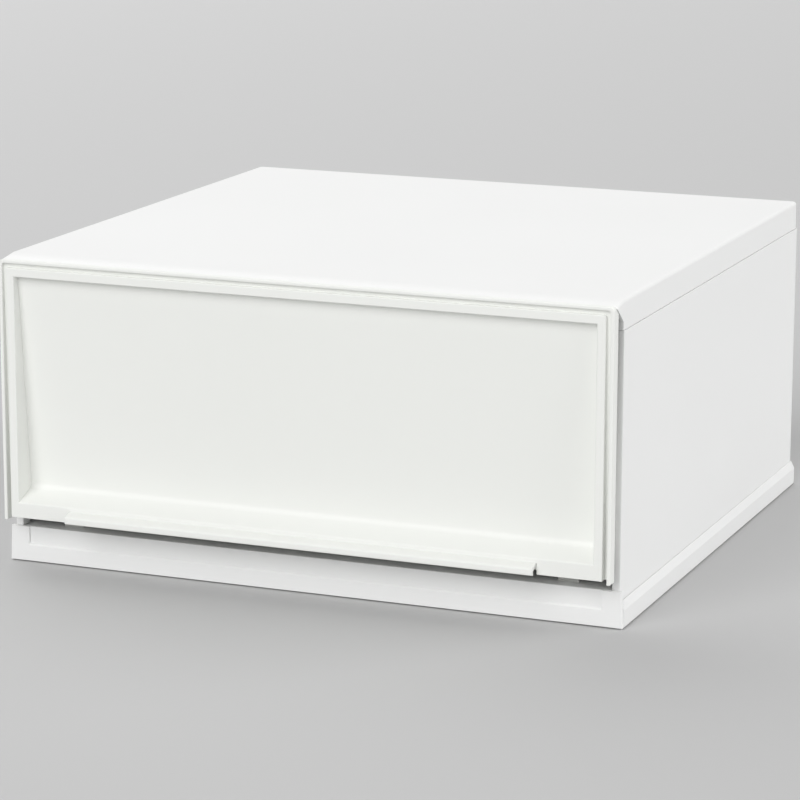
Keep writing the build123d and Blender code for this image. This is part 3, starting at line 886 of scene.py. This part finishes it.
class DRAWERBOX_OT_bumpers(bpy.types.Operator):
    """Rubber buffers that the closed drawer rests against"""
    bl_idname = "drawer_box.bumpers"
    bl_label = "Bumpers"

    def execute(self, context):
        for name, x in (("right_bumper", BUMPER_X), ("left_bumper", -BUMPER_X)):
            low, high = box_of(name)
            bumper = level_rod(f"{name}.plug", x, (low.y, high.y), BUMPER_Z, 5, sides=64)
            bevel(bumper, line(y=low.y), 1.2, 5)
            nose = at(x=x, y=low.y, z=BUMPER_Z)
            inset(bumper, (0, -1, 0), nose, 1.2)
            inset(bumper, (0, -1, 0), nose, 0.3, -0.5)
            soften(bumper, 0.12, 0.2)
            hand_over(bumper, "case", "bumper_rubber", name)
        return {"FINISHED"}


def hand_over_set(body, node, screws):
    together = gather(*screws)
    together.name = together.data.name = f"{node}.set"
    hand_over(together, body, "screw_steel", node)


def countersunk(x, y, bottom, top, pitch):
    neck_radius, head_radius, head_depth = 1.3, 2.86, 2.86
    neck = top - head_depth
    screw = upright_rod("screw", x, y, (bottom, neck), SCREW_CORE, sides=24)
    head = upright_rod("head", x, y, (neck, top), neck_radius, head_radius, sides=48)
    roll_thread(screw, "z", (x, y, bottom), neck - 1.5, pitch)
    return finish_screw(screw, head, "z", (x, y, top), 1.5, 0.32)


def pan_head(x, z, front, back, pitch):
    head_radius, head_height = 3.5, 2
    neck = back - head_height
    screw = level_rod("screw", x, (front, neck), z, SCREW_CORE, sides=24)
    head = level_rod("head", x, (neck, back), z, head_radius, sides=48)
    bevel(head, line(y=back), 0.9, 5)
    roll_thread(screw, "y", (x, front, z), neck - 2.4, pitch)
    return finish_screw(screw, head, "y", (x, back, z), 1.7, 0.38)


def roll_thread(screw, letter, tip, last, pitch):
    """Cuts a shank into rings, swells every other one into a crest and points the end."""
    axis = "xyz".index(letter)
    first = tip[axis] + 1.5
    turns = int((last - first) / pitch)
    cut(screw, letter, *[first + pitch * step / 2 for step in range(2 * turns + 1)])
    growth = [1.16, 1.16, 1.16]
    growth[axis] = 1
    edit(screw)
    for turn in range(turns):
        crest = first + pitch * (turn + 0.5)
        middle = list(tip)
        middle[axis] = crest
        pick("verts", lambda v: abs(in_mm(v.co)[axis] - crest) < 0.05)
        bpy.ops.transform.resize(value=growth, center_override=place(*middle))
    pick("verts", lambda v: near(in_mm(v.co), **{letter: tip[axis]}))
    bpy.ops.transform.resize(value=(0.35, 0.35, 0.35), center_override=place(*tip))
    done()


def finish_screw(screw, head, letter, face, reach, half_width):
    """Joins the head on and cuts a cross recess, which narrows inwards, from its face."""
    weld(screw, head)
    axis = "xyz".index(letter)
    across = [other for other in range(3) if other != axis]
    narrow = [0.45, 0.45, 0.45]
    narrow[axis] = 1
    for longest in across:
        half = [reach if other == longest else half_width for other in range(3)]
        spans = [(middle - by, middle + by) for middle, by in zip(face, half)]
        spans[axis] = (face[axis] - 1.3, face[axis] + 1)
        bar = block("cross", *spans)
        edit(bar)
        pick("verts", lambda v: in_mm(v.co)[axis] < face[axis] - 1)
        bpy.ops.transform.resize(value=narrow, center_override=place(*face))
        done()
        carve(screw, bar)
    soften(screw, 0.06, 0.25)
    return screw


class DRAWERBOX_OT_screws(bpy.types.Operator):
    """Screws with cross recesses and rolled threads"""
    bl_idname = "drawer_box.screws"
    bl_label = "Screws"

    def execute(self, context):
        pitch = sizes_mm(context).pitch
        low, high = box_of("runner_screws")
        sunk = [countersunk(x, y, low.z, high.z, pitch) for x, y in RUNNER_SCREWS]
        hand_over_set("case", "runner_screws", sunk)
        low, high = box_of("front_screws")
        pan = [pan_head(x, z, low.y, high.y, pitch) for x, z in FRONT_SCREWS]
        hand_over_set("drawer", "front_screws", pan)
        return {"FINISHED"}


# ---- drawer ----

FRONT_SCREW_X, FRONT_SCREW_Z = (-160, 160), (35.2, 150)
FRONT_SCREWS = [(x, z) for x in FRONT_SCREW_X for z in FRONT_SCREW_Z]
RIM_DEPTH = 7.4
FLOOR_RISE, FLOOR_DEPTH = 5.8, 15.6    # floor of the recess, over its depth


def arch(name, half, y, z, corner):
    """A block with its two upper corners rounded, seen from the front."""
    shape = block(name, half, y, z)
    bevel(shape, line("y", z=max(z)), corner, 6)
    return shape


def wedge(name, half, *corners):
    """A block with the corners given, seen from the side: lower front, lower back, upper two."""
    y, z = ((min(values), max(values)) for values in zip(*corners))
    shape = block(name, half, y, z)
    starts = ((y[0], z[0]), (y[1], z[0]), (y[1], z[1]), (y[0], z[1]))
    owner = [
        next(
            corner for corner, (at_y, at_z) in enumerate(starts)
            if near(in_mm(vertex.co), y=at_y, z=at_z)
        )
        for vertex in shape.data.vertices
    ]
    edit(shape)
    for corner, ((from_y, from_z), (to_y, to_z)) in enumerate(zip(starts, corners)):
        pick("verts", lambda vertex: owner[vertex.index] == corner)
        bpy.ops.transform.translate(value=Vector((0, to_y - from_y, to_z - from_z)) * MM)
    done()
    return shape


def add_panel(front, face, bottom, opening, wall):
    """The leaning panel with its floor, first as a solid pan and then hollowed from the front."""
    half, top, floor_front = opening
    floor_back = floor_front + FLOOR_RISE
    top_y, bottom_y = face + 4.7, face + FLOOR_DEPTH
    lean = (bottom_y - top_y) / (top - floor_back)
    rise = FLOOR_RISE / FLOOR_DEPTH
    under_front = floor_front + rise * wall - wall
    under_back = floor_back + rise * wall - wall
    near_y, far_y, rim_back = face + wall, bottom_y + wall, face + RIM_DEPTH
    below_back = floor_front + rise * RIM_DEPTH - wall
    carve(front, wedge(
        "below", half + wall, (near_y, bottom - 1), (rim_back, bottom - 1),
        (rim_back, below_back), (near_y, under_front),
    ))
    pan = wedge(
        "pan", half + wall, (near_y, under_front), (far_y, floor_back),
        (top_y + wall - lean * wall, top + wall), (near_y, top + wall),
    )
    keel = wedge(
        "keel", half + wall, (near_y, under_front), (far_y, under_back),
        (far_y, floor_back), (near_y, floor_back - 1),
    )
    weld(front, pan, keel)
    carve(front, wedge(
        "hollow", half, (face - 1, floor_front - rise), (bottom_y, floor_back),
        (top_y, top), (face - 1, top),
    ))
    bevel(front, line("x", y=bottom_y, z=floor_back), 3, 5)


def trim_rim(front, face, half):
    """Cuts the rim's back on the slant that the brow of the top panel has."""
    slant_y, above = face + 3.6, 185
    carve(front, wedge(
        "slant", half + 5, (slant_y, 176.6), (0, 176.4 - BROW_FALL * 8.6),
        (0, above), (slant_y, above),
    ))


def add_bosses(front, bottom):
    """Screw bosses behind the frame, each from inside the wall that it stands on."""
    bosses, pilots = [], []
    for x in FRONT_SCREW_X:
        for z, root in ((bottom + 5.6, -10.4), (FRONT_SCREW_Z[1], -5.6)):
            bosses.append(level_rod("boss", x, (root, 5.2), z, 4))
            pilots.append(level_rod("pilot", x, (-4, 6), z, SCREW_PILOT))
    weld(front, gather(*bosses))
    carve(front, gather(*pilots))


class DRAWERBOX_OT_drawer_front(bpy.types.Operator):
    """Drawer front: rim, groove, frame and a recessed panel that leans back downwards"""
    bl_idname = "drawer_box.drawer_front"
    bl_label = "Drawer front"

    def execute(self, context):
        size = sizes_mm(context)
        half, face, _, rim_bottom, top = reach_of("drawer_front")
        bottom, wall = rim_bottom + 1.7, size.front_wall
        rim_back, rim_under = face + RIM_DEPTH, top - size.rim
        rim_corner, inside_corner, frame_corner = 2.5, 1.45, 1.25
        front = arch("drawer_front.shell", half, (face, rim_back), (rim_bottom, top), rim_corner)
        inner = half - size.rim
        inside_y, inside_z = (face - 1, rim_back + 1), (rim_bottom - 1, rim_under)
        carve(front, arch("inside", inner, inside_y, inside_z, inside_corner))
        plate_y = (face + 2, face + 2 + wall)
        overlap = 0.4
        plate_x, plate_z = inner + overlap, (bottom, rim_under + overlap)
        plate = block("groove_floor", plate_x, plate_y, plate_z)
        shift(plate, at(z=bottom), (0, 3, 0))
        frame_half, frame_top = inner - size.groove, rim_under - size.groove
        frame_y, frame_z = (face, plate_y[1]), (bottom, frame_top)
        weld(front, plate, arch("frame", frame_half, frame_y, frame_z, frame_corner))
        rail_top = bottom + 8.8
        opening = (frame_half - size.frame, frame_top - size.frame, rail_top)
        add_panel(front, face, bottom, opening, wall)
        trim_rim(front, face, half)
        add_bosses(front, bottom)
        slot_half, slot_top = 140.3, box_of("pull_lip")[1].z - 0.78
        carve(front, block("lip_slot", slot_half, (face - 1, face + 5), (bottom - 1, slot_top)))
        bevel(front, lambda mid, way: near(mid, y=face) and mid.z > rail_top - 1, size.edge_round)

        def on_front_or_rim(mid):
            on_front = mid.y < plate_y[0] + 0.5
            return (on_front or abs(mid.x) > inner) and not near(mid, z=slot_top)

        soften(front, size.soft, where=on_front_or_rim)
        hand_over(front, "drawer", "drawer_white", "drawer_front")
        return {"FINISHED"}


class DRAWERBOX_OT_pull_lip(bpy.types.Operator):
    """Sloping shelf with a turned-down lip, and the flange that holds it behind the frame"""
    bl_idname = "drawer_box.pull_lip"
    bl_label = "Pull lip"

    def execute(self, context):
        size = sizes_mm(context)
        half, nose, back, bottom, top = reach_of("pull_lip")
        shelf, flange, raised, wall, slope = 6, 1.6, 0.8, 1.8, 0.3
        face, root, inner = nose + shelf, top - raised, nose + wall
        reach, fall = shelf - wall, wall * slope
        lip = block("pull_lip.shell", half, (face, back - flange), (root - wall, root))
        pull(lip, (0, -1, 0), everywhere, (0, -reach, -reach * slope))
        shift(lip, lambda p: near(p, y=inner) and p.z < root - wall, (0, 0, -fall))
        pull(lip, (0, -1, 0), everywhere, (0, -wall, -fall))
        drop = root - wall - shelf * slope - fall - bottom
        pull(lip, (0, 0, -1), lambda mid: mid.y < inner, (0, 0, -drop))
        shift(lip, at(y=inner, z=bottom + fall), (0, 0, -fall))
        pull(lip, (0, 1, 0), lambda mid: mid.y > face, (0, flange, 0))

        def in_flange(mid):
            return mid.y > back - flange

        pull(lip, (0, 0, 1), in_flange, (0, 0, raised))
        pull(lip, (0, 0, -1), in_flange, (0, 0, bottom + 1.3 - root + wall))
        bevel(lip, line("x", y=nose, z=root - shelf * slope), 0.9, 5)
        bevel(lip, line("x", y=(nose, inner), z=bottom), 0.6, 4)
        soften(lip, size.soft)
        hand_over(lip, "drawer", "drawer_white", "pull_lip")
        return {"FINISHED"}


def tub(name, half, y, z, corner, foot):
    """A block with upright corners rounded, and its bottom edge too."""
    shape = block(name, half, y, z)
    bevel(shape, line("z"), corner, 8)
    if foot:
        bevel(shape, line(z=min(z)), foot, 5)
    return shape


class DRAWERBOX_OT_drawer_tray(bpy.types.Operator):
    """Open tray with a rim bead, guides that straddle the runners and pockets for the clips"""
    bl_idname = "drawer_box.drawer_tray"
    bl_label = "Drawer tray"

    def execute(self, context):
        size = sizes_mm(context)
        half, front, back, guide_bottom, top = reach_of("drawer_tray")
        bottom = guide_bottom + 4.4
        wall, bead, corner, outer_corner, foot = size.tray_wall, 5.0, 5.8, 8, 1.2
        wall_y, bead_y = ((front + inset_by, back - inset_by) for inset_by in (wall, bead))
        tray = tub("drawer_tray.shell", half, (front, back), (bottom, top), outer_corner, foot)
        carve(
            tray,
            tub("hollow", half - wall, wall_y, (bottom + 2.4, top - 2.4), corner, wall),
            tub("mouth", half - bead, bead_y, (top - 4, top + 5), corner, 0),
        )
        guides = []
        for edge in (-1, 1):
            guide_x = (RUNNER_X + edge * 6.5, RUNNER_X + edge * 8.5)
            guides += pair("guide", guide_x, (12, back - 4), (guide_bottom, bottom + 1))
        pockets = pair("pocket", (168.4, 175.8), (281, 293), (145.9, top))
        weld(tray, gather(*guides), gather(*pockets))
        slots = pair("slot", (169.9, 172.9), (284, 290), (148, top + 5))
        through = (front - 1, front + wall + 1)
        holes = [level_rod("hole", x, through, z, 1.7) for x, z in FRONT_SCREWS]
        carve(tray, gather(*slots), gather(*holes))
        soften(tray, size.soft)
        hand_over(tray, "drawer", "tray_white", "drawer_tray")
        return {"FINISHED"}


class DRAWERBOX_OT_stop_clips(bpy.types.Operator):
    """Ramped clips that stand in the tray's rim and meet the apron at the end of the travel"""
    bl_idname = "drawer_box.stop_clips"
    bl_label = "Stop clips"

    def execute(self, context):
        foot, stem_x, stem_y = 160.0, (170.1, 172.7), (284.2, 289.8)
        for side, name in ((1, "right_stop_clip"), (-1, "left_stop_clip")):
            low, high = box_of(name)
            clip = block(f"{name}.hook", (low.x, high.x), (low.y, high.y), (foot, high.z))
            bevel(clip, line("x", y=high.y, z=high.z), 5, 1)
            cut(clip, "x", side * stem_x[0], side * stem_x[1])
            cut(clip, "y", *stem_y)
            pull(
                clip, (0, 0, -1),
                lambda mid: stem_x[0] < abs(mid.x) < stem_x[1] and stem_y[0] < mid.y < stem_y[1],
                (0, 0, low.z - foot),
            )
            bevel(clip, line("x", y=low.y, z=high.z), 0.6, 3)
            soften(clip, 0.2)
            hand_over(clip, "drawer", "clip_plastic", name)
        return {"FINISHED"}


# ---- stage ----

LAMPS = {
    "front": (-0.12, -0.82, 0.56),
    "right": (0.95, -0.10, 0.30),
    "right_back": (0.80, 0.40, 0.45),
    "left_back": (-0.50, 0.50, 0.70),
}
LAMP_WIDTH = 45                  # degrees
FLOOR_SIZE, FLOOR_MIDDLE = 24, (0, 4, 0)
FLOOR_SHADE_SLANT = -9.6               # painted shade: the floor darkens along Y + slant * X, in metres, towards the front and the right of the box
FLOOR_SHADE_SPAN = (-9.3, 19.3)
TARGET = Vector((-0.0137, RAIL_FACE + 0.174, 0.0728))    # what the camera looks at


def add_soft_light(name, direction, strength):
    """A large soft light far away, shining from the direction given."""
    light = bpy.data.lights.new(name, "SUN")
    light.energy = strength
    light.angle = math.radians(LAMP_WIDTH)
    holder = bpy.data.objects.new(name, light)
    bpy.context.scene.collection.objects.link(holder)
    holder.rotation_mode = "QUATERNION"
    holder.rotation_quaternion = Vector(direction).to_track_quat("Z", "Y")


def make_floor(stage):
    bpy.ops.object.select_all(action="DESELECT")
    bpy.ops.mesh.primitive_plane_add(size=FLOOR_SIZE, location=FLOOR_MIDDLE)
    floor = bpy.context.object
    floor.name = "floor"
    bpy.ops.object.transform_apply(location=True, rotation=True, scale=True)
    material, tree, shader, vector = new_material("studio_floor")
    # painted shade: the floor's colour goes from the darker near colour, ahead of and to the right
    # of the box, to the far colour, standing in for light falling off
    parts = add_node(tree, "SeparateXYZ", Vector=vector).outputs
    across = arithmetic(tree, "MULTIPLY_ADD", parts["X"], FLOOR_SHADE_SLANT, parts["Y"])
    distance = add_node(
        tree, "MapRange", Value=across, From_Min=FLOOR_SHADE_SPAN[0], From_Max=FLOOR_SHADE_SPAN[1],
    )
    tone = add_node(tree, "Mix")
    tone.data_type = "RGBA"
    wire(tree, tone, Factor=distance.outputs[0])
    near_colour, far_colour = (s for s in tone.inputs if s.type == "RGBA")
    near_colour.default_value = (*stage.floor_near_shaded, 1)
    far_colour.default_value = (*stage.floor_far, 1)
    mixed = next(s for s in tone.outputs if s.type == "RGBA")
    wire(tree, shader, Base_Color=mixed, Roughness=0.85, Specular_IOR_Level=0.2)
    floor.data.materials.append(material)


def make_sky(context, stage):
    """Even light all round, which the camera and the reflections see as the floor's grey."""
    world = bpy.data.worlds.new("studio")
    context.scene.world = world
    world.use_nodes = True
    tree = world.node_tree
    light = tree.nodes["Background"]
    wire(tree, light, Color=(1, 1, 1, 1), Strength=stage.sky)
    seen = add_node(tree, "Background", Color=(*stage.floor_far, 1))
    path = add_node(tree, "LightPath").outputs
    reflected = arithmetic(tree, "MAXIMUM", path["Is Glossy Ray"], path["Is Transmission Ray"])
    any_seen = arithmetic(tree, "MAXIMUM", path["Is Camera Ray"], reflected)
    mix = add_node(tree, "MixShader", Fac=any_seen)
    tree.links.new(light.outputs[0], mix.inputs[1])
    tree.links.new(seen.outputs[0], mix.inputs[2])
    wire(tree, tree.nodes["World Output"], Surface=mix.outputs[0])


def make_camera(context, stage):
    azimuth, elevation, roll = stage.azimuth, stage.elevation, stage.roll
    back = Vector((
        math.sin(azimuth) * math.cos(elevation),
        -math.cos(azimuth) * math.cos(elevation),
        math.sin(elevation),
    ))
    right = Vector((math.cos(azimuth), math.sin(azimuth), 0))
    up = back.cross(right)
    turned_right = math.cos(roll) * right + math.sin(roll) * up
    turned_up = math.cos(roll) * up - math.sin(roll) * right
    camera = bpy.data.objects.new("camera", bpy.data.cameras.new("camera"))
    context.scene.collection.objects.link(camera)
    camera.data.lens = stage.lens
    camera.data.sensor_width = 36
    camera.data.clip_end = 100
    camera.rotation_mode = "QUATERNION"
    turned = Matrix((turned_right, turned_up, back)).transposed()
    camera.rotation_quaternion = turned.to_quaternion()
    camera.location = TARGET + back * stage.distance
    context.scene.camera = camera


class DRAWERBOX_OT_stage(bpy.types.Operator):
    """Makes the floor, the light and the camera"""
    bl_idname = "drawer_box.stage"
    bl_label = "Set up the studio"

    def execute(self, context):
        stage = context.scene.drawer_box_stage
        make_floor(stage)
        make_sky(context, stage)
        for name, direction in LAMPS.items():
            add_soft_light(f"{name}_light", direction, getattr(stage, name))
        make_camera(context, stage)
        context.scene.view_settings.view_transform = "Standard"
        return {"FINISHED"}


# ---- panel and registration ----

OPERATORS = (
    DRAWERBOX_OT_base_tray,
    DRAWERBOX_OT_front_rail,
    DRAWERBOX_OT_top_panel,
    DRAWERBOX_OT_side_panels,
    DRAWERBOX_OT_back_panel,
    DRAWERBOX_OT_runners,
    DRAWERBOX_OT_feet,
    DRAWERBOX_OT_bumpers,
    DRAWERBOX_OT_screws,
    DRAWERBOX_OT_drawer_front,
    DRAWERBOX_OT_pull_lip,
    DRAWERBOX_OT_drawer_tray,
    DRAWERBOX_OT_stop_clips,
    DRAWERBOX_OT_stage,
)
SETTINGS = {
    "drawer_box_sizes": DrawerBoxSizes,
    "drawer_box_finish": DrawerBoxFinish,
    "drawer_box_stage": DrawerBoxStage,
}


class DRAWERBOX_PT_panel(bpy.types.Panel):
    """Pieces and finishes of the drawer box"""
    bl_idname = "DRAWERBOX_PT_panel"
    bl_label = "Drawer Box"
    bl_space_type = "VIEW_3D"
    bl_region_type = "UI"
    bl_category = "Drawer Box"

    def draw(self, context):
        for name in SETTINGS:
            settings = getattr(context.scene, name)
            column = self.layout.column()
            for value in settings.__annotations__:
                column.prop(settings, value)
        for operator in OPERATORS:
            self.layout.operator(operator.bl_idname)


CLASSES = (*SETTINGS.values(), *OPERATORS, DRAWERBOX_PT_panel)


def register():
    for item in CLASSES:
        bpy.utils.register_class(item)
    for name, group in SETTINGS.items():
        setattr(bpy.types.Scene, name, PointerProperty(type=group))


def unregister():
    for name in SETTINGS:
        delattr(bpy.types.Scene, name)
    for item in reversed(CLASSES):
        bpy.utils.unregister_class(item)


def main():
    register()
    for operator in OPERATORS:
        family, name = operator.bl_idname.split(".")
        getattr(getattr(bpy.ops, family), name)()


if __name__ == "__main__":
    main()
